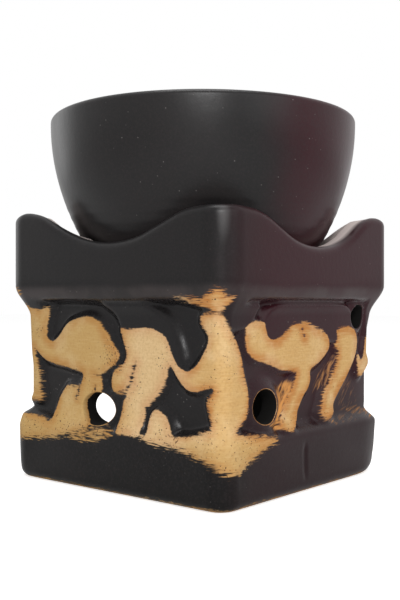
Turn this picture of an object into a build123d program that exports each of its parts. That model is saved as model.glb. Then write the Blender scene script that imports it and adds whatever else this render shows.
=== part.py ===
from build123d import *
from math import cos, radians, sin, sqrt, tan
import os

os.makedirs("parts", exist_ok=True)

# Essential oil burner: a square clay burner with a wavy crown, a round bowl that
# rests loose on the crown's four low places, and a tealight on the burner's floor.
# The origin is the middle of the underside, +Z is up and the tealight doorway faces +Y.

# Driving dimensions in millimetres

# Burner body, half widths from the axis to a flat face
crown_half = 44.0
crown_corner = 8.0
waist_inset = 4.0
plinth_inset = 1.7

# Burner body, heights
arris_round = 3.0
plinth_top = 14.0
waist_bottom = 23.0
waist_top = 49.0
crown_bottom = 59.0
saddle_height = 70.6
peak_rise = 9.9

# Burner body, walls and edges
crown_wall = 8.5
inner_corner = 6.0
floor_thickness = 6.0
crown_outer_round = 3.5
crown_inner_round = 2.2

# Doorway in the back wall
doorway_width = 45.0
doorway_height = 40.0
doorway_corner = 14.0

# Vent holes: height and size, and the place along the wall or the clay left to the next wall's inside
side_vent_place = -5.9
side_vent_height = 23.5
side_vent_width = 13.6
side_vent_rise = 9.4
low_vent_margin = 8.8
low_vent_height = 25.8
low_vent_bore = 10.8
high_vent_margin = 3.95
high_vent_height = 49.7
high_vent_bore = 7.5

# Sunk ground between the raised figures of the waist; the frieze is drawn a little wider than the wall's
# flat part, and no hollow reaches its ends
relief_depth = 1.8
frieze_half_share = 10 / 9

# Oil bowl
bowl_radius = 48.0
bowl_wall = 5.0
bowl_low_radius = 30.0
bowl_low_rise = 17.8
bowl_join_angle = 28.7
bowl_lip_rise = 38.1
bowl_foot_radius = 20.0
bowl_foot_drop = 1.8
seat_gap = 0.3

# Tealight
cup_radius = 19.0
cup_height = 15.5
cup_wall = 0.4
cup_lip = 0.5
cup_floor_gap = 0.3
tealight_forward = 5.0
wax_depth = 11.5
wax_gap = 0.05
wick_radius = 0.7
wick_above_wax = 7.0
sustainer_radius = 6.2
sustainer_plate = 0.4
sustainer_neck_radius = 1.3
sustainer_neck_height = 3.0

# One length by which every cutter overruns the solid it cuts
overrun = 5.0

# Sizes that follow
corner_centre = crown_half - crown_corner
opening_half = crown_half - crown_wall
waist_half = crown_half - waist_inset
peak_height = saddle_height + peak_rise
frieze_half = corner_centre * frieze_half_share
low_vent_place = low_vent_margin + low_vent_bore / 2 - opening_half
high_vent_place = opening_half - high_vent_margin - high_vent_bore / 2


def s_curve(start, end):
    """Two equal arcs, upright at both ends, that join start to end."""
    middle = ((start[0] + end[0]) / 2, (start[1] + end[1]) / 2)
    lower = TangentArc(start, middle, tangent=(0, 1))
    TangentArc(middle, end, tangent=lower % 1)


def wave_side(start, end):
    """Two equal arcs, level at both ends, that join start to end."""
    middle = ((start[0] + end[0]) / 2, (start[1] + end[1]) / 2)
    first = TangentArc(start, middle, tangent=(end[0] - start[0], 0))
    TangentArc(middle, end, tangent=first % 1)


def outside_section(plane, inner_edge):
    """The body's upright section from inner_edge out to the outside, drawn on plane."""
    plinth_half = crown_half - plinth_inset
    above_peak = peak_height + overrun
    with BuildSketch(plane) as section:
        with BuildLine():
            Line((inner_edge, above_peak), (inner_edge, 0))
            Line((inner_edge, 0), (plinth_half - arris_round, 0))
            TangentArc(
                (plinth_half - arris_round, 0),
                (plinth_half, arris_round),
                tangent=(1, 0),
            )
            Line((plinth_half, arris_round), (plinth_half, plinth_top))
            s_curve((plinth_half, plinth_top), (waist_half, waist_bottom))
            Line((waist_half, waist_bottom), (waist_half, waist_top))
            s_curve((waist_half, waist_top), (crown_half, crown_bottom))
            Line((crown_half, crown_bottom), (crown_half, above_peak))
            Line((crown_half, above_peak), (inner_edge, above_peak))
        make_face()
    return section.sketch


def wave_sheet(plane):
    """The upright outline that lies under the crown's wavy edge, seen square on."""
    reach = crown_half + overrun
    with BuildSketch(plane) as sheet:
        with BuildLine():
            Line((-reach, -overrun), (reach, -overrun))
            Line((reach, -overrun), (reach, peak_height))
            Line((reach, peak_height), (opening_half, peak_height))
            wave_side((opening_half, peak_height), (0, saddle_height))
            wave_side((0, saddle_height), (-opening_half, peak_height))
            Line((-opening_half, peak_height), (-reach, peak_height))
            Line((-reach, peak_height), (-reach, -overrun))
        make_face()
    return sheet.sketch


def on_wall(wall):
    """A sketch plane through the axis, seen square on from outside a wall: x runs to the right, y up."""
    facing = {"front": 0, "right": 90, "back": 180, "left": 270}[wall]
    return Plane.XZ.rotated((0, 0, facing))


def rim_edges(solid, at_outside):
    """The wavy edges round the crown's top, on the outside or round the opening."""
    split_reach = (opening_half + crown_half) / 2
    lowest = saddle_height - crown_outer_round / 2

    def on_rim(edge):
        ends = [vertex.center() for vertex in edge.vertices()]
        high = all(end.Z > lowest for end in ends)
        outside = [max(abs(end.X), abs(end.Y)) > split_reach for end in ends]
        return high and (all(outside) if at_outside else not any(outside))

    return solid.edges().filter_by(on_rim)


# Sunk ground between the raised figures. Each hollow is one smooth closed outline, and its points are
# shares of the frieze's half width, to the right, and of the height from the plinth to the crown.
side_hollow_shares = [
    # Over the two animals' backs, down between them and along the second one's neck
    [(-0.66, 0.87), (-0.35, 0.88), (0, 0.89), (0.35, 0.89), (0.63, 0.87), (0.79, 0.83), (0.82, 0.77),
     (0.86, 0.70), (0.86, 0.64), (0.81, 0.56), (0.74, 0.51), (0.68, 0.49), (0.62, 0.53), (0.57, 0.60),
     (0.52, 0.69), (0.43, 0.73), (0.30, 0.74), (0.11, 0.73), (0.09, 0.67), (0.12, 0.58), (0.10, 0.54),
     (0.07, 0.54), (0.04, 0.59), (0, 0.64), (-0.08, 0.72), (-0.15, 0.78), (-0.25, 0.81), (-0.38, 0.79),
     (-0.49, 0.75), (-0.58, 0.68), (-0.65, 0.64), (-0.72, 0.67), (-0.70, 0.75), (-0.68, 0.82)],
    # Under the first animal's neck and belly, before its leg
    [(-0.85, 0.50), (-0.69, 0.47), (-0.51, 0.44), (-0.36, 0.41), (-0.37, 0.36), (-0.49, 0.31),
     (-0.59, 0.23), (-0.62, 0.12), (-0.76, 0.14), (-0.87, 0.19), (-0.80, 0.28), (-0.79, 0.40)],
    # Between the first animal's hind leg and the second one's fore leg
    [(-0.12, 0.42), (-0.02, 0.45), (-0.03, 0.38), (0.02, 0.32), (0.07, 0.32), (0.09, 0.28), (0.07, 0.21),
     (0.06, 0.09), (-0.03, 0.09), (-0.05, 0.22), (-0.10, 0.34)],
    # Under the second animal's neck, over its low foot
    [(0.53, 0.48), (0.57, 0.48), (0.61, 0.43), (0.69, 0.38), (0.79, 0.37), (0.86, 0.38), (0.88, 0.35),
     (0.86, 0.30), (0.88, 0.19), (0.84, 0.15), (0.74, 0.12), (0.62, 0.10), (0.58, 0.16), (0.51, 0.23),
     (0.42, 0.25), (0.35, 0.24), (0.37, 0.29), (0.45, 0.34), (0.51, 0.42)],
]
front_hollow_shares = [
    # Over the first animal's muzzle
    [(-0.88, 0.84), (-0.72, 0.88), (-0.53, 0.87), (-0.51, 0.80), (-0.58, 0.79), (-0.67, 0.79),
     (-0.76, 0.75), (-0.78, 0.67), (-0.81, 0.68), (-0.84, 0.75)],
    # Under its muzzle and belly, down to its foot
    [(-0.76, 0.61), (-0.74, 0.48), (-0.72, 0.36), (-0.71, 0.24), (-0.73, 0.15), (-0.56, 0.10),
     (-0.36, 0.10), (-0.32, 0.19), (-0.22, 0.29), (-0.17, 0.37), (-0.17, 0.43), (-0.33, 0.46),
     (-0.51, 0.51), (-0.62, 0.54), (-0.71, 0.59)],
    # Between its rump and the second animal's leg
    [(0.34, 0.71), (0.40, 0.66), (0.41, 0.58), (0.44, 0.52), (0.41, 0.45), (0.32, 0.36), (0.22, 0.29),
     (0.20, 0.22), (0.16, 0.13), (0, 0.10), (-0.15, 0.11), (-0.10, 0.20), (0, 0.30), (0.06, 0.38),
     (0.06, 0.44), (0.19, 0.49), (0.29, 0.56), (0.30, 0.61), (0.27, 0.68), (0.30, 0.72)],
    # Right of the second animal's leg, under its neck
    [(0.67, 0.48), (0.70, 0.48), (0.72, 0.41), (0.76, 0.38), (0.83, 0.42), (0.87, 0.38), (0.86, 0.24),
     (0.83, 0.16), (0.60, 0.12), (0.36, 0.12), (0.39, 0.20), (0.49, 0.30), (0.59, 0.38), (0.65, 0.44)],
    # The slot between its back and its neck, under the high vent
    [(0.72, 0.71), (0.73, 0.61), (0.75, 0.54), (0.79, 0.54), (0.81, 0.61), (0.81, 0.71), (0.76, 0.76)],
]
# The back's two hollows follow the doorway; this is the right one, and the other is its mirror image
back_hollow_shares = [
    [(0.65, 0.16), (0.84, 0.15), (0.87, 0.36), (0.86, 0.67), (0.78, 0.84), (0.55, 0.87), (0.35, 0.87),
     (0.34, 0.79), (0.51, 0.71), (0.63, 0.56), (0.65, 0.36)],
]


def hollows(wall, hollow_shares, flip=1):
    """The outlines of a wall's sunk ground, drawn at its depth; flip is -1 for their mirror image."""
    frieze_height = crown_bottom - plinth_top
    with BuildSketch(on_wall(wall).offset(waist_half - relief_depth)) as ground:
        for shares in hollow_shares:
            points = [
                (flip * across * frieze_half, plinth_top + up * frieze_height) for across, up in shares
            ]
            with BuildLine():
                Spline(*points, periodic=True)
            make_face()
    return ground.sketch


# Burner body
with BuildPart() as burner_body:
    # The outside section runs along half of each wall and turns round the corner; the rest mirrors it
    extrude(outside_section(Plane.XZ, 0), amount=-corner_centre)
    extrude(outside_section(Plane.YZ, 0), amount=corner_centre)
    revolve(
        outside_section(Plane.XZ.offset(-corner_centre), corner_centre),
        axis=Axis((corner_centre, corner_centre, 0), (0, 0, 1)),
        revolution_arc=90,
    )
    mirror(about=Plane.XZ)
    mirror(about=Plane.YZ)

    # The crown's edge dips to a saddle in the middle of each wall
    extrude(wave_sheet(Plane.XZ), amount=crown_half + overrun, both=True, mode=Mode.INTERSECT)
    extrude(wave_sheet(Plane.YZ), amount=crown_half + overrun, both=True, mode=Mode.INTERSECT)

    # The firebox is open at the top, where the bowl closes it
    with BuildSketch(Plane.XY.offset(floor_thickness)):
        RectangleRounded(2 * opening_half, 2 * opening_half, inner_corner)
    extrude(amount=peak_height + overrun - floor_thickness, mode=Mode.SUBTRACT)

    fillet(rim_edges(burner_body.part, True), crown_outer_round)
    fillet(rim_edges(burner_body.part, False), crown_inner_round)

    # The ground between the figures is cut straight in from outside
    cut_length = waist_inset + relief_depth + overrun
    extrude(hollows("left", side_hollow_shares), amount=cut_length, mode=Mode.SUBTRACT)
    extrude(hollows("right", side_hollow_shares), amount=cut_length, mode=Mode.SUBTRACT)
    extrude(hollows("front", front_hollow_shares), amount=cut_length, mode=Mode.SUBTRACT)
    extrude(hollows("back", back_hollow_shares), amount=cut_length, mode=Mode.SUBTRACT)
    extrude(hollows("back", back_hollow_shares, flip=-1), amount=cut_length, mode=Mode.SUBTRACT)

    # The tealight goes in through a doorway whose sill is level with the floor
    with BuildSketch(on_wall("back")):
        with BuildLine():
            door_half = doorway_width / 2
            door_top = floor_thickness + doorway_height
            shoulder = door_top - doorway_corner
            Line((-door_half, shoulder), (-door_half, floor_thickness))
            Line((-door_half, floor_thickness), (door_half, floor_thickness))
            Line((door_half, floor_thickness), (door_half, shoulder))
            TangentArc(
                (door_half, shoulder), (door_half - doorway_corner, door_top), tangent=(0, 1)
            )
            Line((door_half - doorway_corner, door_top), (doorway_corner - door_half, door_top))
            TangentArc(
                (doorway_corner - door_half, door_top), (-door_half, shoulder), tangent=(-1, 0)
            )
        make_face()
    extrude(amount=crown_half + overrun, mode=Mode.SUBTRACT)

    # Vent holes let air in to the flame
    for wall in ("left", "right"):
        with BuildSketch(on_wall(wall)):
            with Locations((side_vent_place, side_vent_height)):
                Ellipse(side_vent_width / 2, side_vent_rise / 2)
        extrude(amount=crown_half + overrun, mode=Mode.SUBTRACT)
    with BuildSketch(on_wall("front")):
        with Locations((low_vent_place, low_vent_height)):
            Circle(low_vent_bore / 2)
        with Locations((high_vent_place, high_vent_height)):
            Circle(high_vent_bore / 2)
    extrude(amount=crown_half + overrun, mode=Mode.SUBTRACT)

burner_body.part.label = "burner_body"
export_step(burner_body.part, "parts/burner_body.step")


# Oil bowl: it is turned about Z, and its low outer arc rests on the crown's inner edge at the saddles.
# The low arc's centre is found from that seat: the edge's round and the arc are seat_gap apart.
low_centre_height = saddle_height + bowl_low_rise
seat_drop = bowl_low_rise + crown_inner_round
seat_reach = sqrt((bowl_low_radius + seat_gap + crown_inner_round) ** 2 - seat_drop**2)
low_centre_reach = opening_half + crown_inner_round - seat_reach
lip_height = saddle_height + bowl_lip_rise
foot_top = low_centre_height - sqrt(bowl_low_radius**2 - (bowl_foot_radius - low_centre_reach) ** 2)
foot_bottom = foot_top - bowl_foot_drop


def low_point(wall, angle):
    """A point of the low arc, wall inside the outside, at an angle below level."""
    reach = (bowl_low_radius - wall) * cos(radians(angle))
    drop = (bowl_low_radius - wall) * sin(radians(angle))
    return (low_centre_reach + reach, low_centre_height - drop)


def side_points(wall):
    """The side's curve, wall inside the outside: its foot, where its end tangents cross, and the lip."""
    foot = low_point(wall, bowl_join_angle)
    lip_reach = bowl_radius - wall
    crossing_height = foot[1] + (lip_reach - foot[0]) / tan(radians(bowl_join_angle))
    return (foot, (lip_reach, crossing_height), (lip_reach, lip_height))


with BuildPart() as oil_bowl:
    with BuildSketch(Plane.XZ):
        with BuildLine():
            outside = side_points(0)
            inside = side_points(bowl_wall)
            inside_bottom = low_point(bowl_wall, 90)
            Line((0, foot_bottom), (bowl_foot_radius, foot_bottom))
            Line((bowl_foot_radius, foot_bottom), (bowl_foot_radius, foot_top))
            RadiusArc((bowl_foot_radius, foot_top), outside[0], -bowl_low_radius)
            Bezier(*outside)
            TangentArc(outside[2], inside[2], tangent=(0, 1))
            Bezier(*reversed(inside))
            RadiusArc(inside[0], inside_bottom, bowl_low_radius - bowl_wall)
            Line(inside_bottom, (0, inside_bottom[1]))
            Line((0, inside_bottom[1]), (0, foot_bottom))
        make_face()
    revolve(axis=Axis.Z)

oil_bowl.part.label = "oil_bowl"
export_step(oil_bowl.part, "parts/oil_bowl.step")


# Tealight: its cup stands on the burner's floor, a little towards the doorway
cup_bottom = floor_thickness + cup_floor_gap
cup_inside = cup_bottom + cup_wall
wax_top = cup_inside + wax_gap + wax_depth
wick_foot = cup_inside + wax_gap + sustainer_plate


def tealight_level(height):
    """A level sketch plane at height, centred on the tealight."""
    return Plane((0, tealight_forward, height))


with BuildPart() as tealight_cup:
    with BuildSketch(tealight_level(cup_bottom)):
        Circle(cup_radius)
    extrude(amount=cup_height)
    with BuildSketch(tealight_level(cup_bottom + cup_height)):
        Circle(cup_radius + cup_lip)
    extrude(amount=-cup_wall)
    with BuildSketch(tealight_level(cup_inside)):
        Circle(cup_radius - cup_wall)
    extrude(amount=cup_height, mode=Mode.SUBTRACT)

tealight_cup.part.label = "tealight_cup"
export_step(tealight_cup.part, "parts/tealight_cup.step")

# The sustainer is a disc with a neck, and the wick stands in the neck
with BuildPart() as wick_sustainer:
    with BuildSketch(tealight_level(cup_inside + wax_gap)):
        Circle(sustainer_radius)
    extrude(amount=sustainer_plate)
    with BuildSketch(tealight_level(wick_foot)):
        Circle(sustainer_neck_radius)
        Circle(wick_radius, mode=Mode.SUBTRACT)
    extrude(amount=sustainer_neck_height)

wick_sustainer.part.label = "wick_sustainer"
export_step(wick_sustainer.part, "parts/wick_sustainer.step")

with BuildPart() as wick:
    with BuildSketch(tealight_level(wick_foot)):
        Circle(wick_radius)
    extrude(amount=wax_top + wick_above_wax - wick_foot)

wick.part.label = "wick"
export_step(wick.part, "parts/wick.step")

# The wax fills the cup round the sustainer and the wick
with BuildPart() as candle_wax:
    with BuildSketch(tealight_level(cup_inside + wax_gap)):
        Circle(cup_radius - cup_wall - wax_gap)
    extrude(amount=wax_depth)
    with BuildSketch(tealight_level(cup_inside + wax_gap)):
        Circle(sustainer_radius)
    extrude(amount=sustainer_plate, mode=Mode.SUBTRACT)
    with BuildSketch(tealight_level(wick_foot)):
        Circle(sustainer_neck_radius)
    extrude(amount=sustainer_neck_height, mode=Mode.SUBTRACT)
    with BuildSketch(tealight_level(wick_foot)):
        Circle(wick_radius)
    extrude(amount=wax_depth, mode=Mode.SUBTRACT)

candle_wax.part.label = "candle_wax"
export_step(candle_wax.part, "parts/candle_wax.step")
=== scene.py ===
from math import atan2, hypot, pi, radians

import bpy
import numpy as np
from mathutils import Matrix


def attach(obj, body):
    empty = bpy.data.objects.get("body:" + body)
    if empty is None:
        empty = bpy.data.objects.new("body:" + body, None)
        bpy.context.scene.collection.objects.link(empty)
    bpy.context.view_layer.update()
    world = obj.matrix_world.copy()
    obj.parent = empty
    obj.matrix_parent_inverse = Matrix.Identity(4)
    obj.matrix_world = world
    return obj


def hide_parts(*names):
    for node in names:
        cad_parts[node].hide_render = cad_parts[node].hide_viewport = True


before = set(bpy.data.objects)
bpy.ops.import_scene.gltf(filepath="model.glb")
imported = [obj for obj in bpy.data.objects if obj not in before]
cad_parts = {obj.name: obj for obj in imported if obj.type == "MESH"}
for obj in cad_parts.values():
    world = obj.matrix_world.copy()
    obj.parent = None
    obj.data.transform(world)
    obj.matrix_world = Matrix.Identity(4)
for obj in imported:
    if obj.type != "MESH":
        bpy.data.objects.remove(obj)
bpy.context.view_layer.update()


# Burner body: a square box of buff clay, slip-cast in one piece, with a sunk frieze round its waist and a
# wavy crown. It is dipped in near-black slip, and the raised figures are scraped back to the clay.
# Everything is worked out in millimetres and turned into metres when the mesh is made.

MM = 0.001

# The four walls in the order front, right, back, left: the way along each one, seen from outside, its
# outward direction, and the middle of each one on a tape that runs round the body from the left wall
wall_along = np.array([(1, 0), (0, 1), (-1, 0), (0, -1)])
wall_outward = np.array([(0, -1), (1, 0), (0, 1), (-1, 0)])
tape_middle = np.array([80.0, 160.0, 240.0, 320.0])
tape_length = 320.0
flat_half = 36.0
corner_tape = 8.0

# Half widths, outside and inside
crown_half = 44.0
plinth_half = 42.3
waist_half = 40.0
ground_half = 38.2
opening_half = 35.5
firebox_half = 34.5
opening_corner = 29.5
# Heights: the slope over the plinth, the step under the crown, and where the crown stands upright
floor_height = 6.0
plinth_top, slope_top = 15.5, 23.5
step_foot, step_top = 50.0, 59.5
crown_bottom = 59.0
# Radii of the rounded edges
outer_round = 2.4
inner_round = 2.2
arris_round = 3.0

# Height of the crown's edge along each wall: three saddles and corners as seen, the rest alike
crown_edges = [
    [(-46, 79.3), (-38, 79.3), (-33.8, 79.2), (-29.5, 78.9), (-25.9, 78.1), (-22.3, 76.8), (-18.5, 75.1),
     (-14.7, 73.4), (-10.8, 72), (-5.7, 70.9), (-0.5, 70.4), (4.9, 70.5), (10.4, 71.2), (15, 72.5),
     (19.7, 74.6), (23.3, 76.9), (27, 79.1), (30.8, 80.5), (34.6, 81.1), (38.5, 81.0), (46, 80.8)],
    [(-46, 80.8), (-38, 81), (-33.9, 80.8), (-30.2, 79.8), (-26.3, 77.8), (-23, 75.8), (-19.5, 74.1),
     (-15, 72.8), (-8, 71.4), (0, 70.8), (6, 70.9), (12, 71.8), (17, 73.4), (22, 76.2), (26, 78.4),
     (30, 79.9), (35, 80.6), (46, 80.6)],
    [(-46, 80.6), (-38, 80.5), (-33, 80.2), (-28, 78.9), (-23.5, 76.7), (-18.5, 74.4), (-12, 72),
     (-6, 70.8), (0, 70.5), (6, 70.9), (12, 72), (18, 74), (23.5, 76.1), (28, 78.3), (32, 80),
     (37, 81), (46, 80.9)],
    [(-46, 80.9), (-41, 81.2), (-38, 81.5), (-34.8, 81.6), (-31, 81), (-27.2, 79.9), (-23.6, 78.3),
     (-19, 76.1), (-14.6, 74.2), (-10.3, 72.8), (-6.1, 71.9), (-1.9, 71.3), (2.9, 71.2), (6.9, 71.5),
     (10.7, 72.1), (14.5, 73.1), (18.3, 74.6), (21.9, 76), (25.5, 77.4), (28.3, 78.4), (31.7, 79),
     (36.5, 79.2), (46, 79.3)],
]


def smooth_through(points, steps, closed):
    """Catmull-Rom curve through points: between two of them it is the cubic whose slope at each one is half
    the step from the point before to the point after."""
    points = np.asarray(points, float)
    if closed:
        before, here, after, far = (np.roll(points, shift, 0) for shift in (1, 0, -1, -2))
    else:
        run = np.vstack([2 * points[0] - points[1], points, 2 * points[-1] - points[-2]])
        before, here, after, far = run[:-3], run[1:-2], run[2:-1], run[3:]
    share = np.linspace(0, 1, steps, endpoint=False)[:, None, None]
    curve = 0.5 * (
        2 * here
        + (after - before) * share
        + (2 * before - 5 * here + 4 * after - far) * share**2
        + (3 * here - before - 3 * after + far) * share**3
    )
    return curve.transpose(1, 0, 2).reshape(-1, points.shape[1])


def ease(low, high, value):
    """Smooth step: 0 at low, 1 at high, and the cubic 3s^2 - 2s^3 of the share s of the way between."""
    share = np.clip((value - low) / (high - low), 0, 1)
    return share * share * (3 - 2 * share)


def wall_profile(height):
    """Half width of the plain wall at a height: upright plinth, waist and crown, joined by two smooth steps."""
    fall = ease(plinth_top, slope_top, height)
    rise = ease(step_foot, step_top, height)
    return plinth_half + (waist_half - plinth_half) * fall + (crown_half - waist_half) * rise


# How far each corner stands out (or in, below 0) from a true one, by height: the place of the corner on the
# tape, and pairs of height and distance. The piece was trimmed by hand, and most at the right corner's foot.
trim_reach = 6.5
corner_trims = [
    (120, [(0, -4), (2, -3.2), (4, -2.5), (8, -1.9), (13, -1.6), (18, -1.2), (22, -0.6), (34, -0.6),
           (38, -1.9), (46, -1.6), (50, -0.8), (54, -0.6), (57, -0.3), (60, 0)]),
    (200, [(0, -1.5), (4, -0.8), (10, -0.3), (18, 0), (60, 0)]),
    (280, [(0, -0.4), (5, 0.1), (10, 0.4), (15, 0.5), (20, 0.6), (23.5, -0.6), (26, -1.5), (35, -1.5),
           (38, -1.2), (45, -0.9), (50, -0.6), (53, -0.3), (57, 0), (60, 0)]),
]


def tape_offset(tape, place):
    """Distance along the tape from a place on it, the short way round."""
    return (tape - place + tape_length / 2) % tape_length - tape_length / 2


def corner_trim(tape, height):
    """What the trimming adds to the half width: each corner's distance at the height, times a bell curve of
    the distance along the tape."""
    added = np.zeros(np.shape(height))
    for place, trims in corner_trims:
        at_height = np.interp(height, *np.array(trims, float).T)
        added += at_height * np.exp(-((tape_offset(tape, place) / trim_reach) ** 2))
    return added


def seat_height(along):
    """Height of the crown's inner edge, where the bowl sits: two equal arcs from a saddle in the middle of
    the wall, at 70.6, up to a peak beside the corner, at 80.5."""
    low, high = 70.6, 80.5
    reach, rise = opening_half / 2, (high - low) / 2
    radius = (reach**2 + rise**2) / (2 * rise)
    along = np.minimum(np.abs(along), opening_half)
    lower = low + radius - np.sqrt(radius**2 - np.minimum(along, reach) ** 2)
    upper = high - radius + np.sqrt(radius**2 - np.minimum(opening_half - along, reach) ** 2)
    return np.where(along < reach, lower, upper)


edge_lines = [smooth_through(points, 6, False) for points in crown_edges]


def edge_height(wall, along):
    """Height of the crown's outer edge along a wall, read off its smooth line."""
    height = np.zeros(np.shape(along))
    for number, line in enumerate(edge_lines):
        here = np.broadcast_to(wall == number, height.shape)
        height[here] = np.interp(np.broadcast_to(along, height.shape)[here], line[:, 0], line[:, 1])
    return height


def crown_height(wall, along, turn, half, centre, at_seat):
    """Height of the crown at a ring's columns. Round a corner it goes over from one wall's line to the next
    one's by the share of the turn. At the seat it is the lower of the seat's height and the edge's, with
    a bevel where the left wall's line runs down from its far corner."""
    reach = half - centre
    here = along * centre / flat_half + reach * np.sin(turn * pi / 2)
    there = -(centre + reach * np.cos(turn * pi / 2))
    following = (wall + 1) % 4
    edge = edge_height(wall, here) * (1 - turn) + edge_height(following, there) * turn
    if not at_seat:
        return edge
    seat = seat_height(here) * (1 - turn) + seat_height(there) * turn
    bevel = 2.4 * np.exp(-(((here + 22) / 8) ** 2)) * (wall == 3) * (1 - turn)
    return np.minimum(seat, edge - bevel)


# The frieze's figures, drawn on the wall seen from outside: distance from the wall's middle, height, and
# how ragged the scraping is at that point, 0 to 1. The number before each outline is how far inside it the
# scraping counts as complete: a large one is bare clay, and one near 0 is a dry, broken rub.
side_figures = [
    # First animal, neck at the left corner, with the ground that it stands on
    (9, [(-44, 52.6, 0.6), (-36.6, 52.4, 0.5), (-31.5, 52.1, 0.5), (-27.4, 52.9, 0.3), (-28.2, 49.5, 0.3),
         (-28.9, 45.6, 0.3), (-29, 43.6, 0.1), (-26.3, 42.4, 0), (-23.3, 44.1, 0), (-19.7, 47.7, 0),
         (-15.4, 49.3, 0.1), (-10.1, 50, 0.1), (-6.1, 48.8, 0.2), (-3.3, 46.3, 0.3), (-0.4, 42.7, 0.2),
         (2.4, 39.5, 0.1), (1, 37, 0.2), (-2.6, 34.6, 0.2), (-4.9, 33.3, 0.3), (-4.2, 31, 0.2),
         (-4.6, 28.8, 0.3), (-6, 24, 0.3), (-8.4, 19.6, 0.3), (-8.8, 17.6, 0.8), (-12, 16.8, 1),
         (-17, 15.2, 1), (-22, 14, 1), (-28, 13.4, 1), (-36, 12.3, 1), (-44, 11.7, 1), (-50, 12.4, 1),
         (-49, 18, 1), (-44, 19.6, 0.5), (-36, 19.8, 0.3), (-30, 19.4, 0.3), (-25.6, 18.5, 0.3),
         (-24.6, 21.5, 0.3), (-23.1, 25, 0.3), (-21, 28, 0.3), (-19, 29.5, 0.4), (-14.4, 29.7, 0.5),
         (-13, 31.4, 0.3), (-13.2, 33.6, 0.3), (-20.4, 34.9, 0.2), (-26.9, 35.9, 0.2), (-31.1, 37.4, 0.1),
         (-34.2, 39.4, 0.1), (-36.4, 40.2, 0.3), (-44, 40.5, 0.6), (-49, 46, 1)]),
    # The worn strip down the left corner
    (1.6, [(-44, 41, 0.5), (-36, 40.5, 0.3), (-34.5, 36.5, 0.6), (-33, 33.5, 0.8), (-32.6, 30, 1),
           (-31.2, 26, 1), (-32, 24.3, 0.8), (-36, 24, 0.8), (-44, 24.5, 0.8), (-47, 32, 1)]),
    # Second animal, its forefoot, the pillar on the right corner and the ground under it
    (9, [(2.8, 46.7, 0.4), (6, 46.6, 0.2), (13.1, 47.1, 0.1), (17.4, 46.3, 0.1), (20.6, 44.4, 0.1),
         (22.6, 40.6, 0.2), (24.6, 37.4, 0), (27.4, 35.9, 0), (30.3, 37, 0), (32.8, 39.9, 0.1),
         (34.9, 43.8, 0.3), (34.4, 46.3, 0.5), (32.2, 49.3, 0.6), (33, 51, 0.5), (38, 51.2, 0.4),
         (40.4, 50.8, 0.5), (41.6, 48.6, 0.8), (45.2, 45.2, 0.9), (47.9, 40.4, 1), (49.4, 34.9, 1),
         (50.8, 31, 1), (51.2, 26.4, 1), (49.8, 22.9, 1), (45.8, 20.6, 0.8), (46, 19.6, 0.5),
         (52, 18.7, 0.6), (57.5, 18, 0.7), (61.5, 16.7, 1), (55.5, 14.9, 1), (50.7, 13.1, 1), (46, 11, 1),
         (42.4, 9.7, 1), (39.5, 11.2, 1), (36, 12.7, 1), (33, 13.7, 1), (27.5, 15.1, 1), (22, 15.9, 1),
         (16.5, 16, 1), (12.2, 17.2, 0.8), (14.4, 18.2, 0.4),
         (14.1, 21, 0.4), (14.6, 23.4, 0.3), (16.7, 24.8, 0.2), (20.4, 23.4, 0.1), (22.9, 19.9, 0.1),
         (24.6, 18.4, 0.2), (29, 18.8, 0.3), (34.6, 20.5, 0.8), (36, 22, 1), (35.2, 25.5, 1),
         (34.6, 28.5, 1), (36.7, 30.8, 0.5), (36, 32, 0.1), (31, 30.7, 0), (27.4, 31.3, 0),
         (24.6, 33.8, 0), (21.7, 37.2, 0.1), (20.3, 33.4, 0.3), (17.4, 28.9, 0.4), (13.4, 25.4, 0.3),
         (12.4, 22, 0.2), (12.1, 19, 0.2), (11.6, 17.1, 0.2), (7, 17.4, 0.2), (3.1, 17.7, 0.3),
         (3.2, 22, 0.4), (4.2, 26.3, 0.4), (5.4, 28.4, 0.5), (1.7, 28.3, 0.4), (0, 29.2, 0.3),
         (-0.6, 31.3, 0.3), (0.3, 34.5, 0.3), (3.9, 36.8, 0.6), (5.2, 39.4, 0.7), (3.9, 43.4, 0.7)]),
    # The star-shaped rub on the crown's lower corner
    (2, [(25.5, 55.3, 1), (29, 55.2, 1), (33, 55.2, 0.9), (35.6, 55.6, 0.8), (37.2, 56.8, 0.8),
         (38.6, 57.6, 0.8), (40, 57.4, 0.8), (40.5, 56, 0.8), (42.2, 54.9, 0.9), (40.8, 53.4, 0.8),
         (40, 51.9, 0.4), (38, 51.9, 0.4), (35, 52.8, 0.7), (31, 53.8, 1), (28, 54.6, 1)]),
    # Dry strokes under the vent and a rub at the crown's left end
    (0.05, [(-18.5, 15.9, 0.8), (-14, 17.4, 0.8), (-9, 18.1, 0.8), (1.5, 17.6, 0.8), (-2, 15.6, 0.8),
            (-8, 14.2, 0.8), (-15, 14.6, 0.8)]),
    (0.35, [(-46, 59.4, 1), (-39.6, 58.8, 1), (-37.4, 57.1, 1), (-39.4, 56.2, 1), (-47, 56.6, 1)]),
]
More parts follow.
